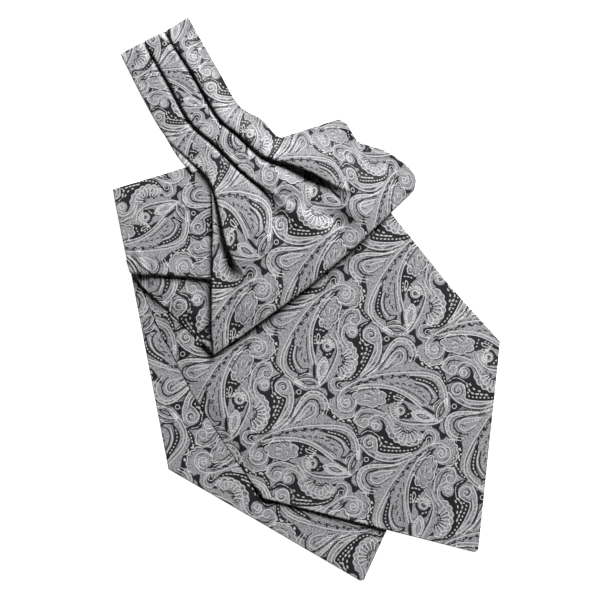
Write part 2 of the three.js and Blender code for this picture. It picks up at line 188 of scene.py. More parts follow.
def leaf(base, tip, width):
    """The outline of a pointed leaf."""
    base, tip = np.array(base, float), np.array(tip, float)
    t = np.linspace(0, 1, LEAF_PARTS)[:, None]
    way = tip - base
    side = np.array([-way[1], way[0]]) / np.hypot(*way)
    bulge = width / 2 * np.sin(np.pi * t ** TAPER) * side
    line = base + way * t
    return even(np.concatenate([line + bulge, (line - bulge)[::-1]]))


def round_flower(centre, length, width, turn, petals, depth):
    """An oval outline with petals round it."""
    angle = np.linspace(0, math.tau, FLOWER_PARTS)
    radius = 1 + depth * np.abs(np.sin(petals * angle / 2))
    x, y = length * radius * np.cos(angle), width * radius * np.sin(angle)
    c, s = math.cos(math.radians(turn)), math.sin(math.radians(turn))
    return even(np.c_[centre[0] + c * x - s * y, centre[1] + s * x + c * y])


# The charted lines: white outlines, black ink, black pockets, grey fills over them and white seeds
outlines, ink, pockets, fills, seeds = [], [], [], [], []

# The great leaf: a spiral whose line sweeps over to the right and round its bowl
HEART = (0, 0)
BOWL = [(45.6, -12.6), (48.6, -17), (49.4, -21), (48.6, -25.4), (46.8, -29.4), (44, -33.4)]
great_leaf = smooth((-4.6, 1), (-2.6, 4.6), (1.5, 6.4), (6.5, 6.6), (12, 5.8), (21.5, 2.6), (31.5, -2.6),
                    (40.5, -8.4), *BOWL, (40.4, -36.4), (36.4, -37.8), (32, -37), (26, -33.2),
                    (20.4, -28.6), (17.4, -24.6), (16.4, -20), (17.6, -16))[::-1]
outlines += [spiral(HEART, 3.6, 0.4, 100, 1.6), great_leaf, arc(HEART, 5.1, 168, 330)]
pockets.append(patch((1, 3.6), (2.6, 4.2), (5, 4), (9, 2.6), (13, 0), (9, 1.2), (5.8, 1.6), (5.9, -1),
                     (6.6, -3.8), (5.8, -6), (3.4, -7.4), (0.4, -7), (2.4, -5.9), (4.4, -4), (5.1, -1.2),
                     (4.6, 1.6), (3, 3)))
collar = scalloped(smooth((-7.6, 4.4), (-8.6, 0.6), (-7.4, -3.6), (-4.4, -6.6), (-0.6, -8)), 5, 1.1)
fills.append(np.r_[collar, arc(HEART, 5.6, 275, 145)])
outlines.append(collar)
ink.append(beside(collar, 0.7))
outlines.append(beside(smooth((38, -6.6), *BOWL), 1.6))

# The ridge down the great leaf, the stitches along its back and the feather and seeds in its bowl
ridge = smooth((5.4, 3.2), (11.5, 1.4), (16, -1.2), (20, -4.4), (24.6, -9.2), (28.4, -16), (30.4, -22),
               (31.4, -26))
outlines += [ridge, beside(ridge, -1.7)[::-1]]
ink.append(beside(smooth((6, 3), (11, 1.4), (16, -1.2), (20, -4.4)), 0.9))
stitches = smooth((3.4, 5.1), (9, 5.2), (15, 3.2), (22.5, 0.4), (31, -4.4), (38.5, -10))
ink += dashes(stitches, 3.3, 1.5) + dashes(beside(stitches, 0.9), 4.7, 1.0, 2.1)
ink += dashes(beside(stitches, -0.7), 6.1, 0.5, 9)
ink += dashes(smooth((29.4, -11), (32, -16), (34.2, -22), (35, -25)), 1.9, 0.7)
pockets.append(patch((36, -8.6), (39.6, -11), (43, -14.6), (45.4, -18.6), (45.2, -23), (43.4, -26),
                     (42.2, -27.4), (42.6, -24), (42.4, -20), (40.4, -15.8), (37.6, -12.4)))
seeds += dashes(smooth((38.4, -11.4), (42, -15.6), (44, -19.6), (43.8, -24)), 1.9)
ink.append(beside(smooth((36.6, -13.4), (39.2, -17), (40.4, -21), (39.6, -25), (36.6, -27)), 0.3))
ink.append(smooth((36.6, -13.4), (39.2, -17), (40.4, -21), (39.6, -25)))
outlines.append(smooth((37.4, -12.8), (40.2, -16.4), (41.5, -20.6), (41, -25)))
feather = scalloped(smooth((25.6, -5), (30.6, -8.6), (34.6, -13), (36.8, -18), (37, -23)), 6, 0.9)
ink += dashes(feather, 3.7, 1.5)
pockets.append(patch((36, -26.4), (39, -27.6), (42.6, -26.6), (43.4, -28.6), (41, -29), (38.4, -29.2),
                     (36.6, -28)))

# The blossom under the ridge, with the black patch and the seeds at its foot
pockets.append(patch((19.6, -4.2), (23.6, -7.8), (26.8, -12.2), (29, -18), (29.8, -22.6), (27.6, -19.4),
                     (25.4, -16.4), (22.4, -16.4), (20, -14.6), (17.4, -13.6), (19, -10.4), (20, -7.6)))
blossom = round_flower((12.2, -5), 7.8, 4.6, -41, 7, 0.22)
fills.append(blossom)
outlines.append(blossom)
ink += dashes(beside(blossom, 0.4), 3.3, 1.3)
BLOSSOM_ROOT = (16.6, -10.6)
VEIN_TENTHS = (6, 8)
for tip in [(6.4, -3.4), (9.4, -0.4), (14, -1), (17.4, -4.6)]:
    vein = even([BLOSSOM_ROOT, tip])
    shown = slice(*(len(vein) * tenths // 10 for tenths in VEIN_TENTHS))
    outlines.append(vein[shown])
seeds += [even([(13.6, -7.4), (13.9, -7.6)]), even([(10, -3.2), (10.3, -3.4)])]
outlines.append(patch((23.2, -12), (26.4, -17), (23, -14.4)))
seeds += dashes(smooth((19.4, -12.4), (21.6, -10.4), (23.4, -9.4)), 1.9)
seeds += dashes(smooth((21, -15), (23.8, -16.8), (26, -18.6)), 1.9)
seeds += dashes(smooth((25, -12.4), (27.4, -16.6)), 1.9)
ink += dashes(smooth((5.4, -8.2), (9, -10.4), (12, -13), (14, -16)), 1.9, 0.5)

# The curl in a ring of beads
ROSETTE = (21.6, -20.6)
BEADS = 9
pockets.append(arc(ROSETTE, 4.4, 0, 360))
fills.append(arc(ROSETTE, 3, 0, 360))
outlines.append(spiral(ROSETTE, 2.8, 1.2, 120, 1.2))
ink.append(arc(ROSETTE, 0.7, -120, 60))
seeds += [ray(ROSETTE, 3.3, 4, angle) for angle in np.linspace(1, 3.8, BEADS)]
pockets.append(patch((20.4, -24.6), (23, -23.4), (25.2, -22.4), (26.4, -24.2), (25, -26.8), (22.6, -27)))
seeds += dashes(smooth((21.8, -25), (24.8, -24.4)), 1.8)
pockets.append(patch((18, -18.4), (19, -22), (20.6, -24.8), (19.2, -24.6), (17.6, -21.6)))

# The two leaves in the bowl, one with an eye
eye_leaf = leaf((25.4, -25), (34.6, -36.6), 5.8)
fills.append(eye_leaf)
outlines += [eye_leaf, leaf((26.8, -26.8), (33.2, -34.8), 3.4)]
pockets.append(leaf((27.8, -28), (32.2, -33.6), 2.2))
pockets.append(patch((31.8, -24.8), (34.6, -28), (36.2, -32.4), (35, -32.8), (33.4, -29.4)))
outlines.append(leaf((34.8, -37.4), (46, -29.4), 5.2))
ink += [smooth((34.6, -36.2), (36.4, -32.6), (40.4, -30), (45.2, -29.2)),
        leaf((37, -35.8), (43.4, -31.2), 1.8)]
ink.append(smooth((18.4, -25.2), (22.4, -29), (27.6, -33), (33, -36.4)))
outlines.append(smooth((36.6, -30.4), (38.6, -28.6), (42.4, -28.2)))

# The scroll below the spiral
outlines.append(smooth((13, -16.6), (9, -10.8), (5, -8.6), (1, -8.4), (-1.7, -10.2), (-2, -13.2),
                       (-0.6, -16.2), (1.8, -17.2), (3.9, -16), (3.9, -13.7), (2.4, -12.6), (1, -13.4)))
ink.append(smooth((0.8, -11), (3, -10.4), (5.4, -11.2), (8, -13.6)))
ink.append(smooth((1.4, -10.7), (3, -10.1), (5.4, -10.9)))
outlines.append(smooth((5, -15), (8.6, -15), (11.6, -18), (12.6, -22), (12, -26)))
outlines.append(smooth((14.4, -17), (14.6, -21), (14.2, -25)))

# The black crescent with its seeds, the curl above it and the hooked leaf along it
pockets.append(patch((-6, -19.6), (-2.4, -18), (2, -18.4), (2.9, -21), (5, -23), (7.4, -23), (9.2, -21),
                     (9.2, -17.8), (10.6, -20), (9.8, -23.8), (8.6, -26), (8.6, -29.4), (9.6, -33),
                     (11.4, -36.4), (14.4, -39.6), (18.6, -41.4), (22.4, -40.2), (22.2, -41.8),
                     (18.4, -43.6), (13, -42.8), (7.4, -39.6), (3, -36.6), (-0.6, -33.4), (-1.6, -30.8),
                     (0.6, -28.8), (2.2, -25.4), (0.6, -21.8), (-2.4, -20.8)))
outlines.append(spiral((6, -19.7), 2.9, 0.9, 60, 1.3))
HOOK_CURL = (-2.5, -25.5)
hook_leaf = [(2, -25.4), (0.2, -29.4), (-1.5, -31.4), (0, -34), (4, -37.4), (8, -40.2), (12.6, -42.4)]
hook_back = [(12.6, -43.6), (4.4, -42), (-0.6, -38.8), (-4.4, -34.4), (-6.6, -29), (-7, -24), (-5, -21.4),
             (-1.6, -20.8)]
fills.append(patch(*hook_leaf, *hook_back))
ink.append(beside(smooth(*hook_back[1:7]), -0.8))
outlines += [smooth(*hook_leaf)[::-1], smooth(*hook_back[:6]), spiral(HOOK_CURL, 4.4, 0.7, -10, 1.5)]
outlines.append(smooth((-3.4, -31), (-1.6, -35), (3, -38.8), (9, -41.8)))
ink.append(arc(HOOK_CURL, 1.5, 20, 300))
seeds += dashes(smooth((1.6, -29.6), (0.8, -32), (4, -35), (8, -38), (12.4, -40.8), (17.6, -42.4),
                       (21.4, -41)), 2.1)
seeds += dashes(smooth((3.2, -26), (2.9, -31), (6, -34.2), (9.4, -37)), 2.5, 1.0)
seeds += dashes(smooth((5, -26.4), (5, -29), (5.6, -31), (7.6, -33.6)), 3.1, 0.8)
outlines += dashes(smooth((-3.6, -19), (0, -19.2), (2, -21), (3.3, -24), (4, -26.4)), 2.6, 1.0)

# The fan flower
FAN_ROOT = (20, -30)
FAN_PETALS = 7
FAN_SPREAD = (158, 284)
fan_rim = smooth((10.8, -23.6), (9.8, -29), (11.2, -33.8), (14.8, -37.8), (19.4, -39.4), (23.6, -37.8))
fan_rim = scalloped(fan_rim, FAN_PETALS, 1.5)[::-1]
fills.append(np.r_[even([(10.8, -23.6), (13, -22), (18, -27), (24, -33), (23.6, -37.8)]), fan_rim])
outlines.append(fan_rim)
outlines.append(scalloped(arc(FAN_ROOT, 7.9, *FAN_SPREAD), FAN_PETALS, 1.1))
for angle in np.radians(np.linspace(*FAN_SPREAD, FAN_PETALS + 1)):
    outlines.append(ray(FAN_ROOT, 4.6, 7.8, angle))
    ink += dashes(ray(FAN_ROOT, 3.4, 5.6, angle + 0.15), 9, 1.6)
ink += dashes(smooth((15.6, -25.6), (17.4, -29), (18.4, -32), (21, -34)), 3.1, 0.8)
pockets.append(patch((16.6, -25.6), (18, -27.2), (18.4, -29.4), (17.2, -28.6)))

# The hooks and the black bits under the bowl
pockets.append(patch((21.6, -34.6), (24, -36), (26.4, -37.6), (24.6, -38.6), (23, -37.6)))
outlines.append(smooth((21.6, -41), (23.6, -38.8), (27, -37.8), (29.6, -40), (29, -43.4), (26.2, -45.4),
                       (23.6, -45)))
outlines.append(smooth((23, -42.6), (25, -41.2), (26.8, -42.2), (25.6, -43.8)))
pockets.append(patch((22, -42), (24, -40.4), (26.4, -39.8), (27.6, -41.4), (26.8, -43.8), (24.4, -44.4),
                     (25, -42.4)))
pockets.append(patch((30.4, -37.6), (35.4, -38.8), (33.4, -40.6), (33.4, -43.4), (35, -46.4), (30.4, -46.6),
                     (31.8, -42.6), (31.2, -39.8)))

# The arched drop
arch_back = smooth((9, -45), (1.5, -42.8), (-3.5, -39.2), (-8.5, -35.8), (-13.5, -34.2), (-18.4, -36.6),
                   (-20.6, -41.8), (-19.6, -46), (-17, -49))
outlines.append(arch_back)
ink += dashes(beside(arch_back, 0.8), 7.1, 5.2)
outlines.append(smooth((5, -44.6), (-2.5, -41.2), (-8.5, -37.4), (-13.4, -35.9), (-17.2, -38), (-18.8, -42),
                       (-17.8, -45.8), (-15, -48.6))[::-1])
arch_top = [(-12.4, -38.2), (-15.4, -40), (-15.8, -43.8)]
ink.append(smooth((2.5, -44.8), (-2.5, -42.2), (-8.5, -39.2), *arch_top, (-14, -46.8), (-11.6, -48.4)))
ink.append(beside(smooth((-7, -39.8), *arch_top, (-14.4, -46.2)), -0.35))
outlines.append(smooth((0.5, -45.6), (-5, -42.4), (-9.6, -40.2), (-12.8, -41), (-13.2, -44), (-10.6, -46.4),
                       (-5, -46.8)))
outlines.append(smooth((-1.6, -45.8), (-6, -44), (-9.4, -42.6)))
ink += [even([(-11.2, -42.6), (-10.4, -43.8)]), even([(-2, -46.2), (-0.8, -45.9)])]
ink.append(even([(3, -40.4), (4.2, -40.8)]))
seeds += dashes(smooth((-4, -38.4), (-8.5, -36.6), (-13.5, -35), (-17.8, -37.2), (-19.8, -42),
                       (-18.8, -46)), 3.1)

# The ring, the ladder and the beads between one great leaf and the next
pockets.append(patch((-8.6, -27), (-7, -30.4), (-5, -34), (-8.4, -34.6), (-13.6, -33.6), (-11, -31.4)))
outlines.append(arc((-9, -31.8), 1.2, 0, 360))
pockets.append(patch((-14, 4.6), (-11, 2.6), (-9.4, -0.6), (-8, -4.4), (-4.8, -7.8), (-1.4, -9), (-3, -11),
                     (-2.7, -13.6), (-4, -17.2), (-7, -20), (-5.6, -15), (-5.4, -11.6), (-8.4, -7.4),
                     (-11.4, -3.6), (-12.6, 0)))
seeds += dashes(beside(collar[len(collar) // 3:], 1.5), 2.3)
seeds += dashes(smooth((-4, -9.6), (-4.4, -13), (-4.6, -15.8), (-6, -18.6)), 1.9)
seeds += [even([(-0.8, -9.6), (-0.6, -9.5)]), even([(-7.6, -5.6), (-7.4, -5.8)])]

TILE_MARGIN = 2
EDGE_TEST = 0.15


def repeated(path):
    """The copies of a charted line that reach into one tile of the repeat."""
    c, s = math.cos(LEAN), math.sin(LEAN)
    path = path @ np.array([[c, s], [-s, c]])
    copies = []
    for motif in (path, np.array(TURNED_ROW) + path * (-1, 1)):
        for row in range(-1, 3):
            for column in range(-2, 3):
                copy = motif + (column * REPEAT_WIDTH, row * REPEAT_HEIGHT)
                low, high = copy.min(axis=0), copy.max(axis=0)
                reaches = low < np.array([REPEAT_WIDTH, REPEAT_HEIGHT]) + TILE_MARGIN
                if high.min() > -TILE_MARGIN and reaches.all():
                    copies.append(copy)
    return copies


def within(polygon, places):
    """Which places lie inside a closed line."""
    inside = np.zeros(len(places), bool)
    near = np.flatnonzero(((places > polygon.min(axis=0)) & (places < polygon.max(axis=0))).all(axis=1))
    x, y = places[near].T
    crossings = np.zeros(len(near), int)
    for (x0, y0), (x1, y1) in zip(polygon, np.roll(polygon, -1, axis=0)):
        if y0 != y1:
            crossings += ((y0 > y) != (y1 > y)) & (x < (x1 - x0) * (y - y0) / (y1 - y0) + x0)
    inside[near] = crossings % 2 == 1
    return inside


pocket_copies = [copy for path in pockets for copy in repeated(path)]
fill_copies = [copy for path in fills for copy in repeated(path)]


def is_black(places):
    """Which places lie in a pocket and not under a fill."""
    black = np.zeros(len(places), bool)
    for polygon in pocket_copies:
        black |= within(polygon, places)
    for polygon in fill_copies:
        black &= ~within(polygon, places)
    return black


class Lines:
    """Charted lines to measure from: how far a place is from the nearest, and how far to its side."""

    def __init__(self, points, sides):
        self.points, self.sides = points, sides
        self.tree = KDTree(len(points))
        for index, (x, y) in enumerate(points):
            self.tree.insert((x, y, 0), index)
        self.tree.balance()

    def measure(self, places):
        nearest = np.array([self.tree.find((x, y, 0))[1] for x, y in places])
        gap = places - self.points[nearest]
        return (gap * self.sides[nearest]).sum(axis=1), np.hypot(*gap.T)


def charted(paths):
    """All the copies of some charted lines, to measure from."""
    copies = [copy for path in paths for copy in repeated(path)]
    return Lines(np.concatenate(copies), np.concatenate([sideways(copy) for copy in copies]))


def pocket_edges():
    """The charted edges that have black on one side only."""
    edges = pocket_copies + fill_copies
    points = np.concatenate(edges)
    sides = np.concatenate([sideways(edge) for edge in edges])
    kept = is_black(points + EDGE_TEST * sides) != is_black(points - EDGE_TEST * sides)
    return Lines(points[kept], sides[kept])


CHART = {"outline": charted(outlines), "ink": charted(ink), "seed": charted(seeds)}
POCKET_EDGES = pocket_edges()


def weave(mesh, cloth):
    """Gives each point of a piece its place in the flat cloth and its distances from the charted lines."""
    tile = np.mod(cloth, (REPEAT_WIDTH, REPEAT_HEIGHT))
    layers = {"pocket": np.where(is_black(tile), 1, -1) * POCKET_EDGES.measure(tile)[1]}
    for name, lines in CHART.items():
        layers[name], layers[name + "_near"] = lines.measure(tile)
    for name, values in layers.items():
        mesh.attributes.new(name, "FLOAT", "POINT").data.foreach_set("value", values.astype(np.float32))
    flat = np.c_[cloth, np.zeros(len(cloth))].astype(np.float32)
    mesh.attributes.new("cloth", "FLOAT_VECTOR", "POINT").data.foreach_set("vector", flat.ravel())


class Shade:
    """A socket of the silk's shader, with arithmetic that adds the nodes for it."""

    def __init__(self, tree, socket):
        self.tree, self.socket = tree, socket

    def node(self, kind, settings, inputs, output=0):
        made = self.tree.nodes.new(kind)
        for name, value in settings.items():
            setattr(made, name, value)
        for key, value in inputs.items():
            if isinstance(value, Shade):
                self.tree.links.new(value.socket, made.inputs[key])
            else:
                made.inputs[key].default_value = value
        return Shade(self.tree, made.outputs[output])

    def maths(self, operation, *others):
        values = dict(enumerate((self, *others)))
        return self.node("ShaderNodeMath", {"operation": operation}, values)

    def __mul__(self, other):
        return self.maths("MULTIPLY", other)

    def ramp(self, low, high):
        """0 from low and 1 from high outwards, smooth between them."""
        return self.node("ShaderNodeMapRange", {"interpolation_type": "SMOOTHSTEP"},
                         {"Value": self, "From Min": low, "From Max": high})

    def mix(self, colour_a, colour_b):
        """colour_a where this is 0 and colour_b where it is 1."""
        return self.node("ShaderNodeMix", {"data_type": "RGBA"}, {0: self, 6: colour_a, 7: colour_b}, 2)


SILVER = (0.282, 0.278, 0.288, 1)
SILVER_DARK = (0.118, 0.116, 0.122, 1)
WHITE_YARN = (0.54, 0.537, 0.546, 1)
SEED_WHITE = (0.4, 0.4, 0.4, 1)
BLACK_YARN = (0.011, 0.011, 0.013, 1)
YARN_LINES = {
    "outline": {"half": 0.14, "whole_to": 0.48, "gone_by": 0.66},
    "ink": {"half": 0.28, "whole_to": 0.5, "gone_by": 0.8},
    "seed": {"half": 0.38, "whole_to": 0.36, "gone_by": 0.62},
}
LINE_SOFT = 0.09
POCKET_SOFT = 0.15
SHADOW_LINE = {"inner": (0.34, 0.6), "outer": (1.2, 0.85), "ends": (1.35, 1.0), "strength": 0.75}
SHEEN = {"roughness": 0.48, "specular": 0.2}
BROKEN = {"scale": 0.22, "ramp": (0.42, 0.56)}
TWILL = {"scale": 1.5, "stretch": (1, 0.6, 1), "turn": math.radians(52), "detail": 2, "ramp": (0.36, 0.6)}

silk = bpy.data.materials.new("silk_jacquard")
silk.use_nodes = True
silk_tree = silk.node_tree
silk_shader = silk_tree.nodes["Principled BSDF"]
silk_nodes = Shade(silk_tree, None)


def layer(name, output="Fac"):
    """One of the values that weave gives to each point of a piece."""
    return silk_nodes.node("ShaderNodeAttribute", {"attribute_name": name}, {}, output)


def line_mask(name):
    """1 on a kind of charted line and 0 off it, faded out past the line's ends."""
    line = YARN_LINES[name]
    across = layer(name).maths("ABSOLUTE").ramp(line["half"] + LINE_SOFT, line["half"] - LINE_SOFT)
    return across * layer(name + "_near").ramp(line["gone_by"], line["whole_to"])


def noise(ramp, scale, stretch=(1, 1, 1), turn=0.0, detail=1.0):
    """Unevenness in the flat cloth, stretched along a direction."""
    turned = silk_nodes.node("ShaderNodeMapping", {}, {"Vector": layer("cloth", "Vector"),
                                                       "Rotation": (0, 0, turn), "Scale": stretch})
    uneven = silk_nodes.node("ShaderNodeTexNoise", {}, {"Vector": turned, "Scale": scale, "Detail": detail})
    return uneven.ramp(*ramp)


shadow_line = layer("outline").ramp(*SHADOW_LINE["inner"])
shadow_line = shadow_line * layer("outline").ramp(*SHADOW_LINE["outer"])
shadow_line = shadow_line * layer("outline_near").ramp(*SHADOW_LINE["ends"]) * noise(**BROKEN)
colour = noise(**TWILL).mix(SILVER_DARK, SILVER)
colour = (shadow_line * SHADOW_LINE["strength"]).mix(colour, BLACK_YARN)
colour = layer("pocket").ramp(-POCKET_SOFT, POCKET_SOFT).mix(colour, BLACK_YARN)
colour = line_mask("ink").mix(colour, BLACK_YARN)
colour = line_mask("outline").mix(colour, WHITE_YARN)
colour = line_mask("seed").mix(colour, SEED_WHITE)
silk_tree.links.new(colour.socket, silk_shader.inputs["Base Color"])
silk_shader.inputs["Roughness"].default_value = SHEEN["roughness"]
silk_shader.inputs["Specular IOR Level"].default_value = SHEEN["specular"]

# How a sheet of the cloth is made: a grid of points on its middle surface gets the cloth's thickness, with
# its edges rounded as a turned seam is, and its places in the flat cloth carry the woven repeat.
EDGE_STEPS = (0, 0.2, 0.5, 0.9)
RIM_SHARE = 0.25


def spaced(length, spacing):
    """Distances from one edge of the cloth to the other, closer together at the rounded edges."""
    inner = np.linspace(EDGE_STEPS[-1], length - EDGE_STEPS[-1], round(length / spacing))
    return np.r_[EDGE_STEPS[:-1], inner, length - np.array(EDGE_STEPS[-2::-1])]


def run_lengths(grid, axis):
    """How far each point of a grid is along its row or column."""
    gaps = np.linalg.norm(np.diff(grid, axis=axis), axis=2)
    first = np.zeros_like(np.take(gaps, [0], axis=axis))
    return np.cumsum(np.concatenate([first, gaps], axis=axis), axis=axis)


def sheet_of_silk(name, grid, cloth, thickness, coarse=2):
    """A closed sheet on rows of middle points that run left to right, with a coarser underside."""
    rows, columns = grid.shape[:2]
    normal = np.cross(np.gradient(grid, axis=0), np.gradient(grid, axis=1))
    normal /= np.maximum(np.linalg.norm(normal, axis=2, keepdims=True), TINY)
    down, across = run_lengths(grid, 0), run_lengths(grid, 1)
    edge = np.minimum(np.minimum(down, down[-1:] - down), np.minimum(across, across[:, -1:] - across))
    round_off = np.clip(1 - edge / EDGE_STEPS[-1], 0, 1)
    half = (thickness / 2 * (RIM_SHARE + (1 - RIM_SHARE) * np.sqrt(1 - round_off ** 2)))[..., None]
    kept_rows = np.unique(np.r_[np.arange(0, rows, coarse), rows - 1])
    kept_columns = np.unique(np.r_[np.arange(0, columns, coarse), columns - 1])
    under = (grid - normal * half)[np.ix_(kept_rows, kept_columns)]
    points = np.concatenate([(grid + normal * half).reshape(-1, 3), under.reshape(-1, 3)])
    places = np.concatenate([cloth.reshape(-1, 2), cloth[np.ix_(kept_rows, kept_columns)].reshape(-1, 2)])
    top = np.arange(rows * columns).reshape(rows, columns)
    low = rows * columns + np.arange(len(kept_rows) * len(kept_columns)).reshape(len(kept_rows), -1)

    def quads(ids):
        return np.stack([ids[:-1, :-1], ids[1:, :-1], ids[1:, 1:], ids[:-1, 1:]], axis=-1).reshape(-1, 4)

    faces = quads(top).tolist() + quads(low)[:, ::-1].tolist()
    borders = [
        (top[:, 0], low[:, 0], kept_rows),
        (top[-1], low[-1], kept_columns),
        (top[::-1, -1], low[::-1, -1], rows - 1 - kept_rows[::-1]),
        (top[0, ::-1], low[0, ::-1], columns - 1 - kept_columns[::-1]),
    ]
    for upper, lower, kept in borders:
        for place in range(len(kept) - 1):
            rim = upper[kept[place]:kept[place + 1] + 1][::-1].tolist()
            faces.append([int(lower[place]), int(lower[place + 1])] + rim)
    mesh = bpy.data.meshes.new(name)
    mesh.from_pydata((points * MM).tolist(), [], faces)
    mesh.shade_smooth()
    weave(mesh, places)
    piece = bpy.data.objects.new(name, mesh)
    bpy.context.collection.objects.link(piece)
    piece.data.materials.append(silk)
    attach(piece, "root")
    return piece


# The back blade's pointed end: two faces of silk, sewn right sides together, turned out and pressed. It
# lies lowest of all and turns over at the shoulder line at its top.
WALL = 1.2
GAP = 0.3
SPACING = 0.72
BACK_BLADE = {
    "tip": (30.6, -154.2), "heading": 107.6,
    "along": (0.6, 2.6, 90.3, 194, 244.4),
    "left": (1.2, 3, 82.5, 70.2, 65.4),
    "right": (1.2, 3, 82.5, 70.2, 64.8),
}
BACK_CLOTH = {"origin": (-36.6, 36), "turn": 184}
SHOULDER_FOLD = {"radius": 1.6, "back": (12, 1)}
FOLD_ROWS = 14
TUCKED_ROWS = 8


def blade_places(blade, along, across):
    """Places in plan, from distances along a blade's axis and across it."""
    turn = math.radians(blade["heading"])
    axis = np.array([math.cos(turn), math.sin(turn)])
    side = np.array([axis[1], -axis[0]])
    return np.array(blade["tip"]) + np.asarray(along)[..., None] * axis + np.asarray(across)[..., None] * side


def blade_distances(blade, places):
    """The distances along a blade's axis and across it of places given in plan."""
    turn = math.radians(blade["heading"])
    gap = places - np.array(blade["tip"])
    along = gap @ np.array([math.cos(turn), math.sin(turn)])
    return along, gap @ np.array([math.sin(turn), -math.cos(turn)])


def blade_widths(blade, along):
    """How far a blade reaches to the left and right of its axis."""
    return [np.interp(along, blade["along"], blade[side]) for side in ("left", "right")]


def blade_grid(blade, alongs):
    """Flat rows across a blade: distances along its axis and across it."""
    left, right = blade_widths(blade, alongs)
    widest = max(blade["left"]) + max(blade["right"])
    shares = spaced(widest, SPACING) / widest
    across = -left[:, None] + (left + right)[:, None] * shares
    return np.repeat(alongs[:, None], len(shares), axis=1), across


def turned_cloth(along, across, origin, turn, closer=1.0):
    """Places in the flat cloth, from distances along and across the piece cut from it."""
    c, s = math.cos(math.radians(turn)), math.sin(math.radians(turn))
    x, y = across * closer - origin[0], along * closer - origin[1]
    return np.stack([c * x - s * y, s * x + c * y], axis=-1)


def creased(places, creases):
    """The height of soft ridges, or of troughs where it is negative, along straight lines in plan."""
    height = np.zeros(places.shape[:-1])
    for line in creases:
        first, way = np.array(line["from"]), np.array(line["to"]) - line["from"]
        share = np.clip((places - first) @ way / (way @ way), 0, 1)
        gap = np.linalg.norm(places - first - share[..., None] * way, axis=-1)
        height += line["rise"] * np.exp(-(gap / line["reach"]) ** 2)
    return height


fold_middle = BACK_BLADE["along"][-1] - SHOULDER_FOLD["radius"] - WALL / 2
turns = np.linspace(math.pi / 2, -math.pi / 2, FOLD_ROWS)
back = np.linspace(*SHOULDER_FOLD["back"], TUCKED_ROWS)
flat_rows = fold_middle - spaced(fold_middle - BACK_BLADE["along"][0], SPACING)[len(EDGE_STEPS):]
alongs = np.r_[fold_middle - back, fold_middle + SHOULDER_FOLD["radius"] * np.cos(turns), flat_rows]
heights = np.r_[np.full(len(back), 2 * SHOULDER_FOLD["radius"]),
                SHOULDER_FOLD["radius"] * (1 + np.sin(turns)), np.zeros(len(flat_rows))] + WALL / 2
along, across = blade_grid(BACK_BLADE, alongs)
grid = np.dstack([blade_places(BACK_BLADE, along, across), np.repeat(heights[:, None], along.shape[1], 1)])
turned = len(alongs) - len(flat_rows)
run_down = run_lengths(grid, 0)
along[:turned] = along[turned] + run_down[turned] - run_down[:turned]
across[:turned] = across[turned]
cloth = turned_cloth(along, across, **BACK_CLOTH)
back_blade = sheet_of_silk("back_blade_end_silk", grid, cloth, WALL, coarse=3)
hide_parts("back_blade_end")

# The front blade's pointed end: two faces of silk, sewn, turned out and pressed like the other blade. It
# lies over that blade and down past its edge, and its left edge is pressed thin.
FRONT_BLADE = {
    "tip": (93.2, -138.2), "heading": 125.1,
    "along": (0.6, 2.6, 86.6, 91.6, 126, 160, 202, 229),
    "left": (1.2, 3, 74.7, 79, 78.7, 77.5, 71.7, 66),
    "right": (1.2, 3, 76.2, 75.8, 71.4, 69.2, 66.2, 64.6),
}
FRONT_CLOTH = {"origin": (-11.5, 108), "turn": 4}
LAYER = WALL + GAP
DRAPE = {"from": 12, "to": 30}
FRONT_CREASES = [
    {"from": (-26, -107), "to": (-20, -110), "reach": 6, "rise": 0.8},
    {"from": (-10, -117), "to": (40, -128), "reach": 5, "rise": 0.9},
    {"from": (-30, -62), "to": (10, -92), "reach": 13, "rise": 0.5},
    {"from": (52, -58), "to": (74, -104), "reach": 11, "rise": 0.5},
    {"from": (-15, -3), "to": (29, 32), "reach": 9, "rise": 1},
]
PRESSED = {"reach": 9, "share": 0.7, "sink": 0.25, "along": (92, 112)}


def smoothstep(value, low, high):
    """0 below low and 1 above high, smooth between them."""
    share = np.clip((value - low) / (high - low), 0, 1)
    return share * share * (3 - 2 * share)


def inside_blade(blade, places):
    """How far places lie inside a blade's outline, or outside it as negative numbers."""
    alongs = np.array(blade["along"])
    right = blade_places(blade, alongs, np.array(blade["right"]))
    left = blade_places(blade, alongs, -np.array(blade["left"]))
    corners = np.concatenate([right, left[::-1]])
    least = np.full(places.shape[:-1], np.inf)
    for corner, following in zip(corners, np.roll(corners, -1, axis=0)):
        way = (following - corner) / np.hypot(*(following - corner))
        least = np.minimum(least, (places - corner) @ np.array([-way[1], way[0]]))
    return least


def lift(blade, places):
    """How far cloth is raised where it lies over a blade, and eases down outside it."""
    return LAYER * smoothstep(inside_blade(blade, places), -DRAPE["to"], -DRAPE["from"])


alongs = FRONT_BLADE["along"][-1] - spaced(FRONT_BLADE["along"][-1] - FRONT_BLADE["along"][0], SPACING)
along, across = blade_grid(FRONT_BLADE, alongs)
places = blade_places(FRONT_BLADE, along, across)
pressed = 1 - smoothstep(across + blade_widths(FRONT_BLADE, along)[0], 0, PRESSED["reach"])
pressed = pressed * smoothstep(along, *PRESSED["along"])
wall = WALL * (1 - PRESSED["share"] * pressed)
heights = lift(BACK_BLADE, places) + creased(places, FRONT_CREASES) + wall / 2 - PRESSED["sink"] * pressed
grid = np.dstack([places, heights])
cloth = turned_cloth(along, across, **FRONT_CLOTH)
front_blade = sheet_of_silk("front_blade_end_silk", grid, cloth, wall, coarse=3)
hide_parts("front_blade_end")

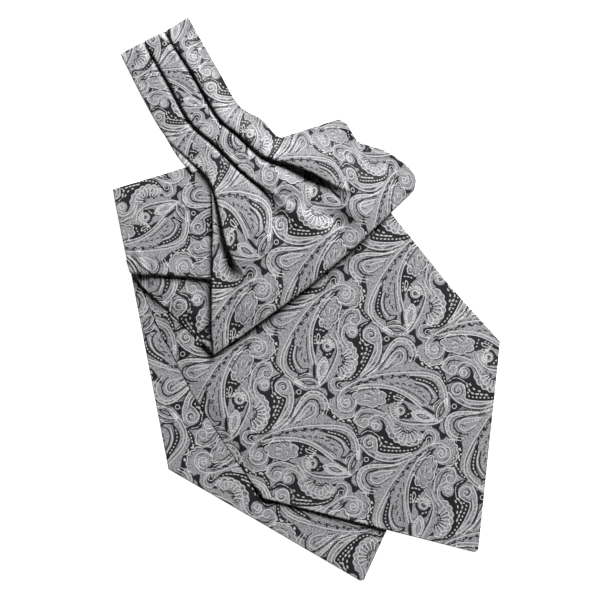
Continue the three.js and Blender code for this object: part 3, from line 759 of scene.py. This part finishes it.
# The hidden turns of both blades, pressed together between the blade ends and the stretches above: two
# layers of cloth at the edge, which shows as a triangle below the flap.
INNER_FOLDS = {
    "left": ((-99.4, 44.4), (-95.6, 27.6), (-91.6, 9.8), (-76, -5.6), (-60.9, -20.6)),
    "right": ((20, 80), (26, 74.6), (31.5, 69), (36, 64.4), (40.2, 60.2)),
    "width": 130, "rows": 110,
    "edge": 1.6, "loft_middle": (14, 48), "loft_reach": 30, "loft_height": 3.2,
}
INNER_CLOTH = {"origin": (-60, 20), "turn": 20}
INNER_CREASES = [
    {"from": (-80, 0), "to": (-60, -6), "reach": 7, "rise": 0.6},
]


def curve(column, place):
    """A smooth curve through a table's column, at a place between its rows."""
    values = np.array(column, float)
    row = min(int(place), len(values) - 2)
    t = place - row
    before, after = values[max(row - 1, 0)], values[min(row + 2, len(values) - 1)]
    start, end = values[row], values[row + 1]
    return ((2 * t ** 3 - 3 * t ** 2 + 1) * start + (t ** 3 - 2 * t ** 2 + t) * (end - before) / 2
            + (3 * t ** 2 - 2 * t ** 3) * end + (t ** 3 - t ** 2) * (after - start) / 2)


def down_rows(piece, name):
    """A column of a piece's table at each row of its mesh."""
    rows = np.linspace(0, len(piece[name]) - 1, piece["rows"])
    return np.array([curve(piece[name], row) for row in rows])


def shares_across(piece):
    """The places of a row's points, as shares of its width."""
    return spaced(piece["width"], SPACING) / piece["width"]


def side_to_side(piece):
    """Places in plan, in rows from a piece's left side to its right side."""
    left, right = down_rows(piece, "left"), down_rows(piece, "right")
    return left[:, None] + (right - left)[:, None] * shares_across(piece)[:, None]


places = side_to_side(INNER_FOLDS)
from_loft = np.hypot(*np.moveaxis(places - INNER_FOLDS["loft_middle"], 2, 0)) / INNER_FOLDS["loft_reach"]
loft = INNER_FOLDS["loft_height"] * smoothstep(1 - from_loft, 0, 1)
ground = lift(BACK_BLADE, places) + lift(FRONT_BLADE, places)
pressed = 1 - smoothstep(run_lengths(places, 1), 0, PRESSED["reach"])
wall = INNER_FOLDS["edge"] * (1 - PRESSED["share"] * pressed)
grid = np.dstack([places, ground + wall / 2 + loft / 2 + creased(places, INNER_CREASES)])
cloth = turned_cloth(places[..., 1], places[..., 0], **INNER_CLOTH)
inner_folds = sheet_of_silk("inner_folds_silk", grid, cloth, wall)
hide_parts("inner_folds")

# The back blade's upper stretch, the flap on the left: the same lined silk, from the shoulder line to its
# lower fold, where it turns back under itself. Two sharp creases cross it near its left edge.
FLAP = {
    "left": ((-105.6, 59.6), (-101.2, 37), (-96.6, 15.4)),
    "right": ((-12.8, 87.4), (-12.4, 50), (-12, 9)),
    "left_height": (6.2, 6.6, 7.2), "right_height": (5.6, 5.8, 6.6), "width": 97, "rows": 100,
    "fold_out": (0.302, -0.953), "fold_under": 5.4, "fold_back": 6,
}
FLAP_CREASES = [
    {"from": (-92.2, 25.5), "to": (-86.8, 11.8), "reach": 1.6, "rise": 0.9},
    {"from": (-66.9, 52.8), "to": (-83.3, 16.8), "reach": 1.3, "rise": 0.6},
    {"from": (-78, 60), "to": (-90, 40), "reach": 8, "rise": 0.5},
    {"from": (-50.5, 56), "to": (-50.5, 11), "reach": 6, "rise": 1},
]
FLAP_AXIS = {"tip": (-58.8, 38.9), "heading": 96}
FLAP_CLOTH = {"origin": (-8.6, -81.6), "turn": -152, "closer": 1.12}


def fold_rows(edge, out, under, back):
    """The rows of a fold: out and round from the row above, then back beneath it."""
    radius = (edge[:, 2] - under) / 2
    rows = []
    for turn in np.linspace(0, math.pi, FOLD_ROWS)[1:]:
        moved = edge[:, :2] + out * (radius * math.sin(turn))[:, None]
        rows.append(np.c_[moved, under + radius + radius * math.cos(turn)])
    for distance in np.linspace(0, back, TUCKED_ROWS)[1:]:
        rows.append(np.c_[edge[:, :2] - out * distance, np.broadcast_to(under, len(edge))])
    return np.array(rows)


places = side_to_side(FLAP)
left_height, right_height = down_rows(FLAP, "left_height"), down_rows(FLAP, "right_height")
height = left_height[:, None] + (right_height - left_height)[:, None] * shares_across(FLAP)
grid = np.dstack([places, height + creased(places, FLAP_CREASES)])
out = np.tile(FLAP["fold_out"], (grid.shape[1], 1))
grid = np.concatenate([grid, fold_rows(grid[-1], out, FLAP["fold_under"], FLAP["fold_back"])])
along, across = blade_distances(FLAP_AXIS, grid[..., :2])
last_flat = FLAP["rows"] - 1
turned_under = run_lengths(grid, 0)[last_flat:]
along[last_flat:] = along[last_flat] - (turned_under - turned_under[0])
across[last_flat:] = across[last_flat]
cloth = turned_cloth(along, across, **FLAP_CLOTH)
flap = sheet_of_silk("back_blade_flap_silk", grid, cloth, WALL)
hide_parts("back_blade_flap")

# The lower run of the neckband: silk with its pleats sewn down and pressed flat, from the fold at its top
# end to the shoulder line. It lies under the upper run and shows as a sliver beside it.
BAND_LOWER = {
    "left": ((-98.9, 130.4), (-87.6, 108), (-76.6, 87.6), (-69.8, 76.6), (-62.4, 68)),
    "right": ((-63, 149.9), (-51, 126.6), (-38, 104.2), (-24.8, 95.8), (-14.6, 87.5)),
    "height": (0, 0.2, 1.2, 3.2, 4.9), "wall": 2, "width": 41, "rows": 120,
}
BAND_CLOTH = {"origin": (5, 0), "turn": 0, "closer": 1.25}
BAND_CREASES = [
    {"from": (-74, 83.4), "to": (-63.8, 69.4), "reach": 4.4, "rise": 1.8},
]
places = side_to_side(BAND_LOWER)
height = down_rows(BAND_LOWER, "height")[:, None]
grid = np.dstack([places, height + BAND_LOWER["wall"] / 2 + creased(places, BAND_CREASES)])
cloth = turned_cloth(-run_lengths(grid, 0), run_lengths(grid, 1), **BAND_CLOTH)
band_lower = sheet_of_silk("neckband_lower_silk", grid, cloth, BAND_LOWER["wall"])
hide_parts("neckband_lower")

# The front half from the neckband's top fold to the diagonal fold: three strips laid over each other like
# tiles by knife pleats, which open out like a fan. It is one cloth, tucked under at its left edge.
PLEAT_WALL = 1.0
FRONT_HALF = {
    "side": ((-103.9, 128), (-93.6, 107.2), (-81.2, 86.6), (-68, 73.2), (-55.4, 64.6), (-51.8, 57.6),
             (-51.1, 46), (-51.1, 32.6), (-51.4, 19.6), (-51.6, 7.5), (-51.6, -6.2), (-51.6, -19),
             (-50.5, -30.2)),
    "tuck": (6.5, 6.5, 6.5, 6.5, 2, 0, 0, 0, 0, 0, 0, 0, 0),
    "pleat1": ((-99.5, 130.4), (-88.7, 109), (-76.7, 88.8), (-63.6, 75.7), (-53.6, 66.4), (-49.6, 57.4),
               (-46.6, 45.6), (-43.6, 32), (-38.6, 19.4), (-33.6, 10.8), (-34.6, 1.6), (-35.6, -7.6),
               (-34.8, -19.4)),
    "pleat2": ((-86.4, 137.5), (-75.1, 118.6), (-62.5, 96.5), (-49, 84.2), (-35.9, 70.8), (-27.1, 63.6),
               (-20, 58.4), (-11.7, 52), (-3.8, 45.4), (4.4, 38), (3, 28), (1.4, 17.4), (-0.4, 5.7)),
    "pleat3": ((-74.9, 143), (-61.4, 123), (-47.8, 99.6), (-36.5, 89.5), (-22.4, 77.6), (-9, 73.5),
               (0.8, 69.7), (9, 65.4), (17, 60.6), (25, 56.6), (27, 47.4), (28, 38.6), (26, 28.2)),
    "right": ((-62.7, 150.4), (-49.7, 127.7), (-36.9, 105.8), (-24.3, 97.6), (-13.7, 87.7), (2.6, 93),
              (19.6, 96.6), (28.2, 85.8), (42.4, 80.8), (53.6, 73.4), (58.2, 68.4), (59.6, 64.2),
              (58.8, 59.6)),
    "lap": ((4, 4, 4), (4, 4, 4), (4, 4, 4), (4, 4, 4), (3.6, 3.6, 4), (3.2, 2.2, 4), (2.8, -2, 3.6),
            (2, -7, 1.4), (-2, -9, -4), (-8, -11, -8), (-9, -12, -9), (-9, -12, -9), (-9, -12, -9)),
    "rise": ((1.6, 1.5, 1.5), (2, 2.8, 3.3), (1.8, 3, 3.8), (1.6, 3, 3.4), (1.8, 2.9, 3.4), (2.4, 3.2, 4.2),
             (3, 2.6, 4.4), (4.6, 1.6, 3.2), (3.4, 1.2, 1.8), (0.8, 1, 1.2), (0.6, 0.8, 1), (0.6, 0.6, 0.6),
             (0.5, 0.5, 0.5)),
    "bend": (0.65, 0.65, 0.65, 0.65, 0.65, 0.65, 0.65, 0.7, 0.8, 0.9, 1.2, 1.2, 1.2),
    "low": ((3.6, 3.6), (3.7, 3.7), (4.4, 4.8), (6.3, 7.2), (8, 8.3), (9, 8.4), (10.2, 8.4), (10.7, 8.4),
            (10.7, 8.6), (9.8, 9.4), (9.2, 10), (8.2, 10.4), (7, 10.4)),
    "end": (4.2, 4.9, 6.2, 8.2, 8.6, 8.8, 8.8, 8.2, 7.4, 6.8, 6.4, 6.2, 6),
    "drop": ((3, 3, 3), (3, 3, 3), (3, 3, 3), (3, 3, 3.4), (3, 3, 5), (3.4, 4, 9), (4, 7, 14), (5, 13, 18),
             (7, 19, 21), (10, 24, 22), (12, 30, 24), (12, 30, 24), (12, 30, 24)),
    "dip": ((0.2, 0.2, 0.2), (0.4, 0.8, 0.9), (0.3, 0.8, 1), (0.4, 1, 1.2), (1.2, 1.2, 1.4), (2, 1.4, 2.4),
            (2.5, 1.2, 3), (2.9, 1, 3.2), (2.8, 0.6, 2.8), (1, 0.4, 1.8), (0, 0, 0.8), (0, 0, 0), (0, 0, 0)),
}
DIAGONAL_FOLD = {
    "out_left": (0.703, -0.711), "out_middle": (0.63, -0.777), "out_right": (0.9, -0.43), "corner_turn": 10,
    "depth": 1.5, "under_right": 1.4, "corner_drop": 28, "back": 9.4,
}
ROW_LENGTHS = (24, 25, 20, 18, 13, 12, 13, 13, 12, 12, 11, 12)
PANEL_COLUMNS = (24, 56, 44, 62)
ARC_COLUMNS = 8
RETURN_COLUMNS = 7
SLOT_OPEN = 0.4
OPEN_PLEAT = 6


def even_count(points):
    """The same line with as many points, at even distances."""
    runs = np.r_[0, np.cumsum(np.hypot(*np.diff(points, axis=0).T))]
    at = np.linspace(0, runs[-1], len(points))
    return np.c_[np.interp(at, runs, points[:, 0]), np.interp(at, runs, points[:, 1])]


def pleat_section(edge, lap, low, rise, bend):
    """A knife pleat seen end on: round the hidden fold, back along the return and round the fold edge."""
    hidden = np.array([edge + lap, low + bend])
    shown = np.array([edge + bend, low + rise - bend])
    apart = max(np.hypot(*(shown - hidden)), 2 * bend)
    way = math.atan2(shown[1] - hidden[1], shown[0] - hidden[0])
    leave = way - math.acos(2 * bend / apart)
    first = around(hidden, bend, np.linspace(-math.pi / 2, leave, ARC_COLUMNS))
    second = around(shown, bend, np.linspace(leave + math.pi, math.pi / 2, ARC_COLUMNS))
    between = first[-1] + (second[0] - first[-1]) * np.linspace(0, 1, RETURN_COLUMNS)[1:-1, None]
    points = np.concatenate([first, between, second])
    return points + (even_count(points) - points) * smoothstep(-lap, 0, OPEN_PLEAT)


def front_half_row(place):
    """One section across the front half: four panels with a pleat between each two."""
    row = {name: curve(column, place) for name, column in FRONT_HALF.items()}
    marks = np.array([row["pleat1"], row["pleat2"], row["pleat3"], row["right"]])
    runs = np.r_[0, np.cumsum(np.hypot(*np.diff(marks, axis=0).T))]
    width = runs[-1]

    def low_at(distance):
        return row["low"][0] + (row["low"][1] - row["low"][0]) * distance / width

    side_gap = np.hypot(*(row["pleat1"] - row["side"]))
    section = [np.array([[row["tuck"] - side_gap, low_at(0)]])]

    def add_panel(end, lap, drop, columns):
        """A strip that stays level and then drops into the slot under the next fold edge."""
        start = section[-1][-1]
        span = end[0] - start[0]
        landed = span - max(lap + row["bend"] + SLOT_OPEN, 0)
        share = np.linspace(0, 1, columns + 1)[1:]
        fall = smoothstep(share * span, max(landed - drop, 0), landed)
        section.append(np.c_[start[0] + span * share, start[1] + (end[1] - start[1]) * fall])

    for pleat in range(3):
        edge, lap, dip = runs[pleat], row["lap"][pleat], row["dip"][pleat]
        points = pleat_section(edge, lap, low_at(edge) - dip, row["rise"][pleat] + dip, row["bend"])
        add_panel(points[0], lap, row["drop"][pleat], PANEL_COLUMNS[pleat])
        section.append(points[1:])
    add_panel((width, row["end"]), 0, width, PANEL_COLUMNS[-1])
    distance, height = np.concatenate(section).T
    x = np.interp(distance, runs, marks[:, 0])
    y = np.interp(distance, runs, marks[:, 1])
    side_way = (row["side"] - row["pleat1"]) / side_gap
    before = np.minimum(distance, 0)
    return np.c_[x - side_way[0] * before, y - side_way[1] * before, height, distance]


NECK_TURN = {"rows": 16, "middle": 3.4, "out": (-0.477, 0.879), "reach": 3.2, "flat": 0.8}
FAN_CREASES = [
    {"from": (-7, 54.6), "to": (15.5, 42.4), "reach": 5.5, "rise": -1.9},
    {"from": (12, 58), "to": (27, 46), "reach": 5.5, "rise": 1.7},
    {"from": (-30, -6), "to": (-14, 8), "reach": 6, "rise": 0.7},
    {"from": (-44, 4), "to": (-40, -16), "reach": 5, "rise": -0.8},
]
row_places = [row + np.arange(0, 1, SPACING / length) for row, length in enumerate(ROW_LENGTHS)]
row_places = np.concatenate([*row_places, [len(ROW_LENGTHS)]])
upper = np.array([front_half_row(place) for place in row_places])
plan = upper[..., 3]
upper = upper[..., :3]
upper[..., 2] += creased(upper[..., :2], FAN_CREASES)
first = upper[0]
turn_rows = []
for turn in np.linspace(math.pi, 0, NECK_TURN["rows"])[:-1]:
    moved = first[:, :2] + np.array(NECK_TURN["out"]) * NECK_TURN["reach"] * math.sin(turn)
    tall = math.cos(turn)
    if tall < 0:
        tall = NECK_TURN["flat"] * tall
    turn_rows.append(np.c_[moved, NECK_TURN["middle"] + (first[:, 2] - NECK_TURN["middle"]) * tall])
share = np.linspace(0, 1, upper.shape[1])[:, None]
out = np.array(DIAGONAL_FOLD["out_left"]) * (1 - share) + np.array(DIAGONAL_FOLD["out_middle"]) * share
out = out + (np.array(DIAGONAL_FOLD["out_right"]) - out) * share ** DIAGONAL_FOLD["corner_turn"]
edge = upper[-1].copy()
under = edge[:, 2] - DIAGONAL_FOLD["depth"]
under += (DIAGONAL_FOLD["under_right"] - under) * share[:, 0] ** DIAGONAL_FOLD["corner_drop"]
edge[:, :2] -= out * ((edge[:, 2] - under) / 2)[:, None]
fold_under = fold_rows(edge, out, under, DIAGONAL_FOLD["back"])
grid = np.concatenate([turn_rows, upper[:-1], [edge], fold_under])

# Its flat cloth: what shows keeps its shape, and what the pleats hide lies between. The pattern is drawn
# closer towards the neckband, and swings round at the right corner.
FAN_CLOTH = {
    "tip": (23.75, 33.4), "heading": 124.5, "turn": 4,
    "closer": 0.32, "from": 20, "to": 90, "taken_up": 0.4,
}
FAN_CORNER = {"across": 41.3, "along": 10, "ease": 8, "turn": 16, "hidden_across": 14.6, "hidden_along": 13.9}
hidden = run_lengths(upper, 1) - (plan - plan[:, :1])
hidden -= hidden[:, -1:]
rows_down = run_lengths(grid, 0)
turned_down = rows_down[len(turn_rows)] - rows_down[:len(turn_rows)]
folded_down = rows_down[len(turn_rows) + len(upper):] - rows_down[len(turn_rows) + len(upper) - 1]
along, across = blade_distances(FAN_CLOTH, upper[..., :2])
ease = FAN_CORNER["ease"]
toward = (np.hypot(np.maximum(across, 0), ease) - ease) / (FAN_CORNER["across"] - ease / 2)
closer = FAN_CLOTH["closer"] * smoothstep(along, FAN_CLOTH["from"], FAN_CLOTH["to"])
swung = (along - FAN_CORNER["along"] * toward) * np.sin(math.radians(FAN_CORNER["turn"]) * toward)
across = (across + hidden * FAN_CLOTH["taken_up"]) * (1 + closer)
across = across + FAN_CORNER["hidden_across"] * toward + swung
middle = (FAN_CLOTH["from"] + FAN_CLOTH["to"]) / 2
along = along + closer * np.maximum(along - middle, 0) - FAN_CORNER["hidden_along"] * toward
along = np.concatenate([along[0] + turned_down, along, along[-1] - folded_down])
across_turn = np.repeat(across[:1], len(turn_rows), 0)
across_fold = np.repeat(across[-1:], len(fold_under), 0)
across = np.concatenate([across_turn, across, across_fold])
cloth = turned_cloth(along, across, (0, 0), FAN_CLOTH["turn"]) + np.array(TURNED_ROW)
front_half = sheet_of_silk("front_half_silk", grid, cloth, PLEAT_WALL)
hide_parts("neckband_turn", "neckband_upper", "front_blade_fan")
